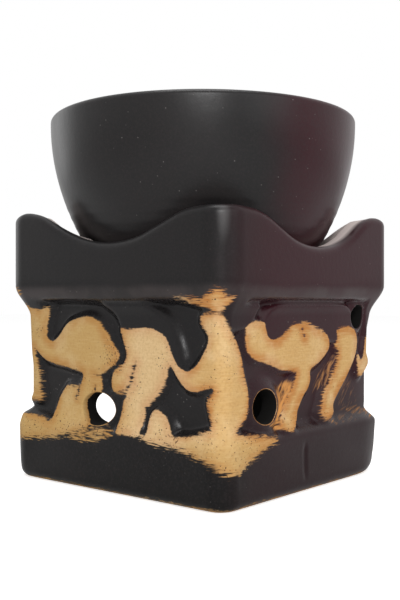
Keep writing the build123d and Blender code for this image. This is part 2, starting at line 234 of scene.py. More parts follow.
front_figures = [
    # Third animal, its muzzle beside the pillar
    (9, [(-29.6, 47.5, 0.2), (-26.9, 49, 0.1), (-22.2, 48.9, 0.1), (-21, 46.8, 0.1), (-20, 44.8, 0),
         (-17.4, 43.9, 0.1), (-13, 45.2, 0.4), (-8, 47.9, 0.6), (-1.5, 48.4, 0.6), (4.9, 46.6, 0.6),
         (9.6, 44.7, 0.2), (11.8, 41.3, 0), (9.6, 38.6, 0), (5.6, 36.3, 0.1), (1.3, 34.5, 0.1),
         (1.2, 31.7, 0.1), (-0.2, 29.2, 0), (-2.6, 27.2, 0), (-5.3, 23.6, 0.1), (-6.6, 21, 0.2),
         (-8.8, 18.8, 0.3), (-11, 18.2, 0.3), (-13.7, 18.8, 0.3), (-15, 20.2, 0.4), (-14.1, 22.6, 0.4),
         (-12.7, 25, 0.5), (-10.4, 28.2, 0.6), (-8.5, 29.8, 0.5), (-6.8, 32.2, 0.4), (-6.2, 34.4, 0.3),
         (-13.3, 35.3, 0.2), (-20.4, 37.5, 0.1), (-25.6, 38.8, 0.1), (-29, 41, 0.1), (-30, 44.1, 0.2)]),
    # Fourth animal: one long leg and its rump
    (9, [(15.7, 45.8, 0.4), (20.3, 46.7, 0.3), (24.6, 46.3, 0.2), (27.2, 44.4, 0.1), (28.1, 40.6, 0),
         (26.7, 37.2, 0), (23.3, 33.1, 0.1), (19.9, 29.6, 0.1), (16.6, 26.5, 0.2), (14, 23.6, 0.3),
         (13.2, 20.8, 0.7), (9, 19.6, 0.9), (5.6, 20.8, 0.9), (6.9, 24.1, 0.6), (8.4, 27.5, 0.5),
         (11.6, 30.6, 0.6), (14.4, 33.4, 0.6), (16.2, 36.6, 0.6), (16.9, 38.6, 0.6), (15.2, 40.8, 0.6),
         (15.8, 43.4, 0.5)]),
    # The next neck, that turns the right corner
    (2.5, [(28.1, 36.4, 0.2), (28.5, 32.6, 0.4), (30.5, 31, 0.5), (33, 32.4, 0.3), (36, 34.6, 0.4),
           (40, 37.4, 0.6), (42.4, 41, 0.8), (40, 44.6, 0.8), (36.8, 43.6, 0.4), (35.2, 41.6, 0.2),
           (34.2, 39, 0), (32.6, 36.8, 0), (30.6, 36, 0), (29.2, 37.8, 0)]),
]
back_figures = [
    # The pillars beside the doorway and a worn band round its arch
    (3, [(-52, 51, 0.8), (-37, 50.4, 0.6), (-36.2, 44, 0.9), (-35.6, 36, 0.9), (-36.4, 28, 0.9),
         (-35.4, 20.6, 0.7), (-29, 17.2, 1), (-37, 13.4, 1), (-46, 11.6, 1), (-52, 14, 1), (-50, 32, 1)]),
    (3, [(33, 52.3, 0.5), (44, 52.6, 0.5), (44, 40.2, 0.5), (37.6, 40, 0.5), (35.4, 43.6, 0.5)]),
    (0.5, [(-25.4, 21, 1), (-26, 34, 0.9), (-22.6, 43.6, 0.8), (-15, 49.2, 0.7), (0, 50.4, 0.7),
           (15, 49.2, 0.7), (22.6, 43.6, 0.8), (26, 34, 0.9), (25.4, 21, 1), (22.8, 21, 1), (22.8, 33, 0.8),
           (19.4, 42, 0.8), (12.4, 46.4, 0.8), (0, 47, 0.8), (-12.4, 46.4, 0.8), (-19.4, 42, 0.8),
           (-22.8, 33, 0.8), (-22.8, 21, 1)]),
]
# Raised shapes that keep their slip. At the front: the right corner's top, and the band over both animals
front_shoulders = [
    [(33, 58), (48, 58), (47, 34), (38, 37), (36, 44), (33.5, 50)],
    [(-22.6, 45.6), (-21.6, 49.5), (-18.6, 52.4), (-13, 54), (0, 54.3), (14, 54), (20.6, 53), (25, 50.2),
     (27.6, 46.4), (28.6, 42), (26, 40), (18, 42), (12, 42.5), (5, 43), (-8, 44), (-17, 43.5)],
]
# At the side: the corners' tops, that run up into the crown, the band over the second animal and above the
# first, and a swelling behind the forefoot
side_shoulders = [
    [(-52, 58), (-32, 58), (-30.5, 51), (-33, 48), (-52, 48)],
    [(32.5, 58), (54, 58), (52, 48), (35.5, 48), (34, 51)],
    [(3, 46.4), (2.4, 48.6), (0.6, 51), (-3, 53.4), (-7, 55), (-14, 55.6), (-18, 56), (-21, 57),
     (8, 57), (12, 54.6), (17, 51.6), (21, 49.4), (23.6, 46.2), (25.2, 43), (26, 40.6), (26.6, 38.2),
     (25, 37), (20, 38), (8, 42), (3.6, 45)],
    [(15, 23.5), (17.2, 25.2), (20, 24.4), (22.4, 22), (23.4, 19), (22, 18), (16, 20)],
]
# At the back: the arch round the doorway
back_shoulders = [
    [(-26, 14), (-27, 34), (-23.6, 44.6), (-15.6, 50.2), (0, 51.6), (15.6, 50.2), (23.6, 44.6), (27, 34),
     (26, 14)],
]
# Thin marks where the slip stayed on: their two ends and half their breadth
side_marks = [
    (8.9, 37, 7.7, 33.4, 0.2), (7.8, 34.4, 7.3, 32.2, 0.35), (5.4, 30, 7.4, 31.6, 0.25),
    (2.6, 28.9, 5.6, 29.4, 0.3), (-14.1, 29.4, -14.6, 27, 0.2), (-15.1, 27, -15.5, 26, 0.25),
    (-7.3, 28, -7.1, 30, 0.14), (-7.6, 33.3, -5.6, 33, 0.12), (13, 24.9, 13.6, 18.2, 0.5),
]
front_marks = [
    (-41.8, 33.4, -45, 32.6, 0.25), (-3.4, 46.8, -3, 45.6, 0.12), (-2.6, 44.9, -2.2, 44.2, 0.25),
]
# Dry, see-through strokes on the front: how strong each is, and its outline
front_rubs = [
    (0.6, [(15.6, 38.6), (17.9, 38.2), (18.2, 37), (16.6, 34.7), (14.6, 33.1), (12.4, 31.2), (9.9, 29.5),
           (7.1, 28.1), (4.4, 27), (4.7, 28.6), (6.2, 30.5), (7.4, 32.4), (9, 33.9), (11.8, 35.3), (14, 36.8)]),
    (0.34, [(20.5, 30), (19.6, 26.3), (19.2, 23.2), (21.5, 20.6), (27, 20.4), (31, 21.4), (30, 25.4), (27, 30),
            (23, 31.5)]),
    (0.55, [(6, 21.8), (5.4, 20.2), (8.5, 18.6), (13.5, 17.4), (14.1, 19.4), (13.5, 21.1)]),
    (0.3, [(17, 19.4), (21, 21), (25, 21.4), (25, 18), (20, 17), (17, 17.6)]),
    (0.66, [(24, 21.2), (29, 21.8), (34, 20.8), (38.5, 19.2), (41.5, 17.6), (41.5, 16.2), (35, 17.4),
            (29, 18.6), (25, 19.4)]),
    (0.95, [(-10.9, 31.6), (-13.7, 30.2), (-15.6, 28.9), (-15, 27.6), (-14.7, 25.7), (-15.3, 23.9),
            (-16.3, 22.4), (-19, 21.2), (-20, 20.4), (-17.9, 19.2), (-14.7, 18.6), (-12.5, 20), (-12.6, 23),
            (-11.2, 25.6), (-9.2, 28.4), (-7, 30), (-6.6, 31.6), (-8.7, 31.9)]),
    (0.7, [(37.5, 55.8), (43.5, 55.6), (44, 57.5), (43, 59.4), (40.5, 58.4)]),
]
# The right wall repeats the left one, without its worn strip, short of the corner that the front's last neck
# turns
far_figures = [(most, [(max(along, -33), *rest) for along, *rest in points])
               for most, points in side_figures[:1] + side_figures[2:5]]
# Each wall's figures, raised shapes, marks and strokes
wall_art = [
    (front_figures, front_shoulders, front_marks, front_rubs),
    (far_figures, side_shoulders[1:], side_marks, []),
    (back_figures, back_shoulders, [], []),
    (side_figures, side_shoulders, side_marks, []),
]


def outline_distance(spots, outline):
    """Signed distance from spots to a closed outline, positive inside, and the outline's third value at the
    nearest place. The distance is the least one to any of its straight runs, and a spot is inside where a
    ray to the right crosses an odd number of them."""
    start, end = outline, np.roll(outline, -1, 0)
    run = (end - start)[None, :, :2]
    away = spots[:, None, :] - start[None, :, :2]
    share = np.clip((away * run).sum(2) / (run**2).sum(2), 0, 1)
    gap = np.hypot(away[..., 0] - share * run[..., 0], away[..., 1] - share * run[..., 1])
    nearest = gap.argmin(1)
    rows = np.arange(len(spots))
    low, high = start[None, :, 1], end[None, :, 1]
    level = spots[:, None, 1]
    crossing = start[None, :, 0] + run[..., 0] * (level - low) / np.where(high == low, 1, high - low)
    inside = (((low > level) != (high > level)) & (spots[:, None, 0] < crossing)).sum(1) % 2 == 1
    third = start[nearest, 2] + share[rows, nearest] * (end[nearest, 2] - start[nearest, 2])
    return np.where(inside, 1, -1) * gap[rows, nearest], third


# The furthest from an outline that a spot is measured, and what its distance counts as beyond that
FAR = 7.0


def closed_outline(points):
    """A smooth closed outline through points. Its third value is 0 where they have none."""
    points = np.array(points, float)
    if points.shape[1] == 2:
        points = np.c_[points, np.zeros(len(points))]
    return smooth_through(points, 4, True)


def near_spots(tape, height, wall, outline):
    """The spots within reach of an outline on a wall, as a mask and as places on that wall."""
    along = tape_offset(tape, tape_middle[wall])
    low, high = outline[:, :2].min(0) - FAR, outline[:, :2].max(0) + FAR
    near = (along > low[0]) & (along < high[0]) & (height > low[1]) & (height < high[1])
    return near, np.stack([along[near], height[near]], 1)


# How ragged an edge is where nothing else is said, and the least that an outline's number is where it stands
# out of the ground
usual_ragged = 0.3
least_raised = 1.5


def frieze_fields(tape, height):
    """Four fields over the outside: how far a spot lies inside the scraped figures, how ragged the edge is
    there, how strongly it is rubbed, and how far it lies inside anything raised. Each is the greatest over
    all outlines, and the marks are cut out of the scraping. A broken rub lies on the surface, unraised."""
    shape = tape.shape
    tape, height = tape.ravel(), height.ravel()
    scraped, ragged, rubbed, raised = (np.full(tape.size, value) for value in (-FAR, usual_ragged, 0.0, -FAR))
    for wall, (figures, shoulders, marks, rubs) in enumerate(wall_art):
        for most, points in figures + [(None, points) for points in shoulders]:
            outline = closed_outline(points)
            near, spots = near_spots(tape, height, wall, outline)
            if not near.any():
                continue
            inside, edge = outline_distance(spots, outline)
            if most is None or most > least_raised:
                raised[near] = np.maximum(raised[near], inside)
            if most is not None:
                value = np.minimum(inside, most)
                better = value > scraped[near]
                scraped[near] = np.where(better, value, scraped[near])
                ragged[near] = np.where(better, edge, ragged[near])
        for left, low, right, high, breadth in marks:
            line = np.array([(left, low, 0), (right, high, 0)], float)
            near, spots = near_spots(tape, height, wall, line)
            gap = -outline_distance(spots, line)[0]
            scraped[near] = np.minimum(scraped[near], np.abs(gap) - breadth)
        for strength, points in rubs:
            outline = closed_outline(points)
            near, spots = near_spots(tape, height, wall, outline)
            inside = outline_distance(spots, outline)[0]
            rubbed[near] = np.maximum(rubbed[near], strength * ease(-0.9, 0.8, inside))
    return [values.reshape(shape) for values in (scraped, ragged, rubbed, raised)]


# The vents: wall, middle, breadth, height, and how much of the edge is worn to the clay
vents = [(0, (-21.3, 25.8), 11.2, 9.5, 0.4), (0, (27.8, 49.7), 7.5, 7.5, -0.2),
         (1, (-5.9, 23.5), 13.6, 9.4, 0.3), (3, (-5.9, 23.5), 13.6, 9.4, 0.5)]
# The sunk ground: the heights between which it begins over the plinth and ends at the ledge under the crown,
# and how wide the slope is from anything raised down to it
ground_begins, ground_ends = (16.5, 21), (52.8, 55.4)
ground_slope = 2.8
# The groove under the crown: height, breadth, depth, which is greater at the front, and where it runs out
# towards a corner
groove_height, groove_breadth = 54.2, 0.8
groove_depth, front_groove_depth = 0.7, 1.2
groove_full, groove_out = 28, 33
# A knock on the plinth: place on the tape, breadth and depth
knock_place, knock_breadth, knock_depth = tape_middle[0] - 5, 0.8, 0.45


def outer_surface(tape, height):
    """Half width of the outside with its relief, and its fields. Away from the raised shapes and the vents
    the wall sinks to the ground's plane, three tenths of it by a straight slope and the rest by a smooth
    step, between a slope at the plinth and a ledge under the crown, where a shallow groove runs between the
    corners. The groove and the knock are bell curves across. A slow ripple of a tenth of a millimetre keeps
    it from looking machined. The last field says how far the surface is sunk, in the ground or the groove."""
    scraped, ragged, rubbed, raised = frieze_fields(tape, height)
    for wall, middle, across, rise, _ in vents:
        along = tape_offset(tape, tape_middle[wall])
        around = np.hypot((along - middle[0]) * 2 / across, (height - middle[1]) * 2 / rise)
        # The ground rises to a collar round the vent
        raised = np.maximum(raised, 0.3 - (around - 1) * (across + rise) / 7)
    plain = wall_profile(height)
    band = ease(*ground_begins, height) * (1 - ease(*ground_ends, height))
    share = np.clip((0.5 - raised) / ground_slope, 0, 1)
    sunk = (0.3 * share + 0.7 * ease(0, 1, share)) * band
    ripple = 0.07 * np.sin(tape * 0.21 + height * 0.13) + 0.05 * np.sin(tape * 0.093 - height * 0.31 + 1)
    off_middle = np.abs((tape + 40) % 80 - 40)
    depth = np.where((tape > 40) & (tape < 120), front_groove_depth, groove_depth)
    groove = depth * np.exp(-(((height - groove_height) / groove_breadth) ** 2))
    groove = groove * ease(groove_out, groove_full, off_middle)
    knock = knock_depth * np.exp(-(((tape - knock_place) / knock_breadth) ** 2))
    knock = knock * ease(3.5, 6, height) * ease(15, 12, height)
    half = plain - (plain - ground_half) * sunk + ripple * ease(3, 8, height) + corner_trim(tape, height)
    half -= groove + knock
    return np.minimum(half, crown_half), scraped, ragged, rubbed, np.maximum(sunk, groove.clip(0, 1))


# How far apart the mesh's columns are on each wall, closer on the front and the left, and the steps in which
# they go round a corner
column_pitch = (0.45, 0.8, 0.8, 0.45)
corner_steps = 12


def column_table():
    """The mesh's columns round the body: wall, distance along its flat part, and share of the turn round
    the corner that follows it."""
    columns = []
    for wall, pitch in enumerate(column_pitch):
        along = np.linspace(-flat_half, flat_half, round(2 * flat_half / pitch) + 1)
        turn = np.linspace(0, 1, corner_steps + 1)[1:-1]
        columns.append(np.c_[np.full(len(along), wall), along, np.zeros(len(along))])
        columns.append(np.c_[np.full(len(turn), wall), np.full(len(turn), flat_half), turn])
    table = np.vstack(columns)
    return table[:, 0].astype(int), table[:, 1], table[:, 2]


def ring_places(wall, along, turn, half, centre):
    """Level places on a rounded square: along the flat part, or round a corner of radius half - centre."""
    reach = half - centre
    sideways = along * centre / flat_half + reach * np.sin(turn * pi / 2)
    outwards = centre + reach * np.cos(turn * pi / 2)
    return wall_along[wall] * sideways[..., None] + wall_outward[wall] * outwards[..., None]


def body_rows(wall, along, turn):
    """The mesh's rows from the middle of the underside, up the outside, over the crown and down the inside
    to the middle of the floor: half width, corner centre and height of each column, and the fields."""
    count = len(wall)

    def level(values):
        """Each value, the same for every column."""
        return np.repeat(np.asarray(values, float)[:, None], count, 1)

    # Flat underside and the rounded arris at the foot
    under_half = level([8, 16, 24, 30, 34, 37, 39.3])
    under_centre = level([7, 14, 21, 26.5, 30.5, 33.7, 36])
    arris = np.linspace(0, pi / 2, 9)[1:]
    arris_half = level(plinth_half - arris_round + arris_round * np.sin(arris))
    arris_height = level(arris_round - arris_round * np.cos(arris))
    tape = tape_middle[wall] + along + corner_tape * turn
    under_half += corner_trim(tape, 0 * under_half) * ease(28, 39, under_half)
    arris_half += corner_trim(tape, arris_height)

    # Outer wall, with its relief
    wall_heights = level(np.r_[np.linspace(3.8, 11.6, 8), np.arange(12.3, 58.6, 0.56), crown_bottom])
    tape = np.broadcast_to(tape, wall_heights.shape)
    wall_half, scraped, ragged, rubbed, sunk = outer_surface(tape, wall_heights)

    # Upright crown and its rounded outer edge
    share = np.linspace(0, 1, 12)[1:-1, None]
    edge = crown_height(wall, along, turn, crown_half, flat_half, False)
    crown_heights = crown_bottom + share * (edge - outer_round - crown_bottom)
    over = np.linspace(0, pi / 2, 9)[:, None]
    over_half = crown_half - outer_round + outer_round * np.cos(over) + 0 * edge
    over_height = edge - outer_round + outer_round * np.sin(over)

    # Rounded inner edge, where the bowl sits, and a row midway between the two edges
    seat = crown_height(wall, along, turn, opening_half, opening_corner, True)
    into = np.linspace(0, pi / 2, 8)[:, None]
    into_half = opening_half + inner_round - inner_round * np.sin(into) + 0 * seat
    into_height = seat - inner_round + inner_round * np.cos(into)
    middle_half = level([(over_half[-1, 0] + into_half[0, 0]) / 2])
    middle_height = ((over_height[-1] + into_height[0]) / 2)[None]

    # Inner wall, the cove at its foot, and the floor
    cove = 2.0
    share = np.linspace(0, 1, 20)[1:, None]
    down = into_height[-1] + share * (floor_height + cove - into_height[-1])
    down_half = firebox_half + (opening_half - firebox_half) * ease(56, 64, down)
    bend = np.linspace(0, pi / 2, 6)[1:]
    cove_half = level(firebox_half - cove + cove * np.cos(bend))
    cove_height = level(floor_height + cove - cove * np.sin(bend))
    floor_half = level([31, 24, 16, 8])

    halves = [under_half, arris_half, wall_half, level([crown_half] * len(crown_heights)), over_half,
              middle_half, into_half, down_half, cove_half, floor_half]
    centres = [under_centre] + [level([flat_half] * len(part)) for part in halves[1:5]]
    centres += [level([(flat_half + opening_corner) / 2])]
    centres += [level([opening_corner] * len(part)) for part in halves[6:9]]
    centres += [floor_half * opening_corner / opening_half]
    heights = [0 * under_half, arris_height, wall_heights, crown_heights, over_height, middle_height,
               into_height, down, cove_height, level([floor_height] * 4)]

    starts = np.cumsum([0] + [len(part) for part in halves])
    rows = starts[-1]
    usual = {"scraped": -FAR, "ragged": usual_ragged, "rubbed": 0.0, "sunk": 0.0, "inside": 0.0}
    fields = {name: np.full((rows, count), value) for name, value in usual.items()}
    # The underside is bare clay, and so, raggedly, is the arris
    fields["scraped"][: starts[1]] = 2
    fields["scraped"][starts[1] : starts[2]] = 0.55 - 0.8 * arris_height
    fields["ragged"][: starts[2]] = 0.45
    for name, values in (("scraped", scraped), ("ragged", ragged), ("rubbed", rubbed), ("sunk", sunk)):
        fields[name][starts[2] : starts[3]] = values
    fields["inside"][starts[5] :] = 1
    grids = np.vstack(halves), np.vstack(centres), np.vstack(heights)
    return grids, fields, starts[2], starts[7]


def outline_reach(outline, middle, angle):
    """How far an outline lies from a middle inside it, in the direction of each angle."""
    away = np.asarray(outline) - middle
    bearing = np.arctan2(away[:, 1], away[:, 0])
    order = bearing.argsort()
    return np.interp(angle, bearing[order], np.hypot(*away.T)[order], period=2 * pi)


def oval(across, rise):
    """An ellipse about the origin, as a dense outline."""
    angle = np.linspace(0, 2 * pi, 360, endpoint=False)
    return np.stack([across / 2 * np.cos(angle), rise / 2 * np.sin(angle)], 1)


def arch():
    """The doorway: a rectangle from the floor up, 45 by 40, whose upper corners are quarter circles."""
    half, top, bend = 22.5, 46.0, 14.0
    angle = np.linspace(0, pi / 2, 40)
    right = np.stack([half - bend + bend * np.cos(angle), top - bend + bend * np.sin(angle)], 1)
    left = right[::-1] * (-1, 1)
    side = np.linspace(floor_height, top - bend, 60)
    sill = np.linspace(-half, half, 90)
    return np.vstack([
        np.stack([sill, np.full(90, floor_height)], 1), np.stack([np.full(60, half), side], 1), right, left,
        np.stack([np.full(60, -half), side[::-1]], 1),
    ])


# Wall, middle, outline, how far the edge is rounded outside, and how much of its edge is worn to the clay
openings = [(wall, middle, oval(across, rise) + middle, 0.35, worn)
            for wall, middle, across, rise, worn in vents]
openings.append((2, (0.0, 26.0), arch(), 0.9, 0.3))


def grid_faces(rows, count):
    """Faces of a grid whose rows run round and close: each vertex's number, the quads by row and column,
    and the triangles that close the first and last rows on two vertices numbered after the grid's own."""
    index = np.arange(rows * count).reshape(rows, count)
    ahead = np.roll(index, -1, 1)
    quads = np.stack([index[:-1], ahead[:-1], ahead[1:], index[1:]], 2)
    low = np.stack([np.full(count, rows * count), ahead[0], index[0]], 1)
    high = np.stack([np.full(count, rows * count + 1), index[-1], ahead[-1]], 1)
    return index, quads, np.vstack([low, high])


def block_edge(index, top, bottom, first, last):
    """The vertices round a block of the grid, and nothing inside it."""
    return np.concatenate([
        index[bottom, first:last], index[bottom:top:-1 if top < bottom else 1, last],
        index[top, last:first:-1], index[top:bottom:1 if top < bottom else -1, first],
    ])


def stitch(ring, ring_angle, edge, edge_angle):
    """Triangles between two closed loops. Both are walked in order of angle, and each step, on whichever
    loop it falls, makes one triangle with the last vertex passed on the other."""
    ring, ring_angle = ring[ring_angle.argsort()], np.sort(ring_angle)
    edge, edge_angle = edge[edge_angle.argsort()], np.sort(edge_angle)
    on_ring = np.r_[np.ones(len(ring), bool), np.zeros(len(edge), bool)]
    on_ring = on_ring[np.argsort(np.r_[ring_angle, edge_angle], kind="stable")]
    at_ring, at_edge = np.cumsum(on_ring) - 1, np.cumsum(~on_ring) - 1
    by_ring = np.stack([ring[at_ring - 1], ring[at_ring], edge[at_edge]], 1)[on_ring]
    by_edge = np.stack([ring[at_ring], edge[at_edge], edge[at_edge - 1]], 1)[~on_ring]
    return np.vstack([by_ring, by_edge])


def body_mesh():
    """All vertices, faces and fields of the body. The grid is closed in the middle of the underside and of
    the floor. Each opening drops a block of the outer grid and one of the inner grid, and rings of
    vertices lead from the outer block's edge, by its rounded rim, through the wall to the inner one's."""
    wall, along, turn = column_table()
    (half, centre, height), fields, outer_start, inner_start = body_rows(wall, along, turn)
    rows, count = half.shape
    places = ring_places(wall, along, turn, half, centre)
    points = [np.concatenate([places, height[..., None]], 2).reshape(-1, 3), [[0, 0, 0], [0, 0, floor_height]]]
    values = {name: [field.ravel(), [field[0, 0], field[-1, 0]]] for name, field in fields.items()}
    index, grid, caps = grid_faces(rows, count)
    kept = np.ones((rows - 1, count), bool)
    quads, triangles = [], [caps]
    total = rows * count + 2

    inner_bend = firebox_half - opening_corner
    inner_along = along * opening_corner / flat_half + inner_bend * np.sin(turn * pi / 2)
    inner_drop = height - (firebox_half - half)
    for side, middle, outline, rim, worn in openings:
        middle = np.array(middle)
        low, high = outline.min(0) - rim, outline.max(0) + rim
        columns = np.flatnonzero((wall == side) & (turn == 0))
        # Outer block: the grid lines just clear of the rim
        first = columns[along[columns] < low[0] - 0.4][-1]
        last = columns[along[columns] > high[0] + 0.4][0]
        outer = np.arange(outer_start - 2, inner_start)
        bottom = outer[height[outer, first] < low[1] - 0.3][-1]
        top = outer[height[outer, first] > high[1] + 0.3][0]
        kept[bottom:top, first:last] = False
        loop = block_edge(index, top, bottom, first, last)
        spot = np.stack([along[loop % count], height.ravel()[loop]], 1)
        away = spot - middle
        angle = np.arctan2(away[:, 1], away[:, 0])
        heading = np.stack([np.cos(angle), np.sin(angle)], 1)
        reach = outline_reach(outline, middle, angle)
        # Rings: (share of the way to the rim, radius beyond the outline, depth below the surface). The
        # first two lead to the rim, the next two round it over, and the last two are at the inner wall.
        rings = [(0.5, rim, 0), (1, rim, 0), (1, rim * 0.3, rim * 0.35), (1, 0, rim)]
        rings += [(1, 0, None), (1, 0, None)]
        before = loop
        for number, (share, beyond, depth) in enumerate(rings):
            place = middle + heading * (reach + beyond)[:, None]
            place = spot + (place - spot) * share
            tape = tape_middle[side] + place[:, 0]
            skin, scraped, ragged, rubbed, sunk = outer_surface(tape, place[:, 1])
            if number in (1, 2):
                skin_at_rim = skin
                scraped = np.maximum(scraped, worn if number == 2 else worn - 0.8)
                ragged = np.full(len(place), 0.15)
            if depth is None:
                past = np.maximum(np.abs(place[:, 0]) - opening_corner, 0)
                out = opening_corner + np.sqrt(inner_bend**2 - past**2) + (0.6 if number == 4 else 0)
                scraped = np.full(len(place), -FAR)
            elif number < 2:
                out = skin
            else:
                out = skin_at_rim - depth
            flat = wall_along[side] * place[:, :1] + wall_outward[side] * out[:, None]
            points.append(np.concatenate([flat, place[:, 1:]], 1))
            inside = np.full(len(place), float(number > 2))
            ring_values = {"scraped": scraped, "ragged": ragged, "rubbed": rubbed * (number < 3),
                           "sunk": sunk * (number < 3), "inside": inside}
            for name, value in ring_values.items():
                values[name].append(value)
            ring = total + np.arange(len(place))
            total += len(place)
            quads.append(np.stack([before, np.roll(before, -1), np.roll(ring, -1), ring], 1))
            before = ring
        # Inner block: the grid lines just clear of the outline
        columns = np.flatnonzero(wall == side)
        first = columns[inner_along[columns] < low[0] + rim - 0.8][-1]
        last = columns[inner_along[columns] > high[0] - rim + 0.8][0]
        inner = np.arange(inner_start - 1, rows)
        top = inner[inner_drop[inner, first] > high[1] - rim + 0.6][-1]
        bottom = inner[inner_drop[inner, first] < low[1] + rim - 0.6][0]
        kept[top:bottom, first:last] = False
        edge = block_edge(index, top, bottom, first, last)
        spot = np.stack([inner_along[edge % count], inner_drop.ravel()[edge]], 1) - middle
        triangles.append(stitch(before, angle, edge, np.arctan2(spot[:, 1], spot[:, 0])))

    points, quads, triangles = np.vstack(points), np.vstack([grid[kept], *quads]), np.vstack(triangles)
    used, renumbered = np.unique(np.concatenate([quads.ravel(), triangles.ravel()]), return_inverse=True)
    quads, triangles = np.split(renumbered.ravel(), [quads.size])
    fields = {name: np.concatenate(parts)[used] for name, parts in values.items()}
    return points[used], quads.reshape(-1, 4), triangles.reshape(-1, 3), fields


def make_piece(name, points, quads, triangles, fields=None):
    """A smooth-shaded mesh object from arrays in millimetres, with one float per vertex for each field."""
    mesh = bpy.data.meshes.new(name)
    corners = np.concatenate([quads.ravel(), triangles.ravel()])
    sides = np.r_[np.full(len(quads), 4), np.full(len(triangles), 3)]
    mesh.vertices.add(len(points))
    mesh.vertices.foreach_set("co", (points * MM).ravel())
    mesh.loops.add(len(corners))
    mesh.loops.foreach_set("vertex_index", corners)
    mesh.polygons.add(len(sides))
    mesh.polygons.foreach_set("loop_start", np.cumsum(sides) - sides)
    mesh.polygons.foreach_set("loop_total", sides)
    mesh.polygons.foreach_set("use_smooth", np.ones(len(sides), bool))
    mesh.update(calc_edges=True)
    for field, values in (fields or {}).items():
        mesh.attributes.new(field, "FLOAT", "POINT").data.foreach_set("value", values.astype(np.float32))
    piece = bpy.data.objects.new(name, mesh)
    bpy.context.scene.collection.objects.link(piece)
    return piece


def plug(node, inputs):
    """Gives each named socket of a node a value or another node's output."""
    for socket, value in inputs.items():
        if isinstance(value, bpy.types.NodeSocket):
            tree.links.new(value, node.inputs[socket])
        else:
            node.inputs[socket].default_value = value


def put(kind, inputs=None, **settings):
    """Adds a shader node to the tree in hand, which is always called tree."""
    node = tree.nodes.new("ShaderNode" + kind)
    for name, value in settings.items():
        setattr(node, name, value)
    plug(node, inputs or {})
    return node


def reckon(operation, *values):
    """Adds a Math node and gives its output."""
    return put("Math", dict(enumerate(values)), operation=operation).outputs[0]


def plus(first, second):
    """Adds a Math node that adds."""
    return reckon("ADD", first, second)


def minus(first, second):
    """Adds a Math node that subtracts the second value from the first."""
    return reckon("SUBTRACT", first, second)


def times(first, second):
    """Adds a Math node that multiplies."""
    return reckon("MULTIPLY", first, second)


def step_up(value, low, high, to_low=0.0, to_high=1.0):
    """Adds a smooth Map Range from low..high to to_low..to_high and gives its output."""
    inputs = {"Value": value, "From Min": low, "From Max": high, "To Min": to_low, "To Max": to_high}
    return put("MapRange", inputs, interpolation_type="SMOOTHSTEP").outputs[0]


def own_places():
    """Adds Texture Coordinate and gives the piece's own places, in metres."""
    return put("TexCoord").outputs["Object"]


def stretched(places, *scale):
    """Adds a Mapping that multiplies places by a factor along x, y and z."""
    return put("Mapping", {0: places, "Scale": scale}).outputs[0]


def distance_from(places, *spot):
    """Adds the distance of places from a spot."""
    return put("VectorMath", {0: places, 1: spot}, operation="DISTANCE").outputs["Value"]


def grain(places, scale, detail=2.0, roughness=0.5):
    """Adds a Noise texture and gives its value, which stays mostly between 0.3 and 0.7."""
    inputs = {"Vector": places, "Scale": scale, "Detail": detail, "Roughness": roughness}
    return put("TexNoise", inputs).outputs["Fac"]


def blend(share, first, second):
    """Adds a Mix of two numbers and gives its output."""
    return put("Mix", {0: share, 2: first, 3: second}).outputs[0]


def blend_colour(share, first, second):
    """Adds a Mix of two colours, each an output or red, green and blue, and gives its output."""
    first, second = ((*colour, 1) if isinstance(colour, tuple) else colour for colour in (first, second))
    return put("Mix", {"Factor": share, 6: first, 7: second}, data_type="RGBA").outputs[2]


def bumped(height, strength, distance):
    """Adds a Bump and gives its normal."""
    return put("Bump", {"Height": height, "Strength": strength, "Distance": distance}).outputs[0]


# The slip: near black, with a fine eggshell surface, faint brush clouds and pale specks of dust. It is
# neutral on the left and plum on the right, the plum a painted tint of warm light from that side, and its
# black is darker towards the bottom as painted shade. Inputs: how dusty and how glossy, and where the
# painted plum tint begins.
painted_shade_black, black_high = (0.0030, 0.0028, 0.0028), (0.0098, 0.0093, 0.0096)
painted_warm_light_colour = (0.0300, 0.0055, 0.0090)
clouded, mottled = (0.0150, 0.0115, 0.0115), (0.0250, 0.0190, 0.0195)
dust = (0.30, 0.28, 0.27)

tree = slip_group = bpy.data.node_groups.new("dark slip", "ShaderNodeTree")
for name, value in (("Dust", 0.5), ("Gloss", 0.0), ("Painted warm light from", 0.006)):
    socket = tree.interface.new_socket(name, in_out="INPUT", socket_type="NodeSocketFloat")
    socket.default_value = value
for name, kind in (("Color", "Color"), ("Roughness", "Float"), ("Height", "Float")):
    tree.interface.new_socket(name, in_out="OUTPUT", socket_type="NodeSocket" + kind)
given, result = tree.nodes.new("NodeGroupInput").outputs, tree.nodes.new("NodeGroupOutput")

places = own_places()
axes = put("SeparateXYZ", {0: places}).outputs
clouds = grain(places, 38, 3)
mottle = grain(places, 1500, 2, 0.6)
# The plum towards the right, weaker low down, is a painted tint of warm light from that side
sideways = minus(minus(axes[0], axes[1]), given["Painted warm light from"])
painted_warm_light = step_up(plus(sideways, times(clouds, 0.024)), 0.010, 0.038)
painted_warm_light = times(painted_warm_light, step_up(axes[2], 0.010, 0.036, 0.4, 1.0))
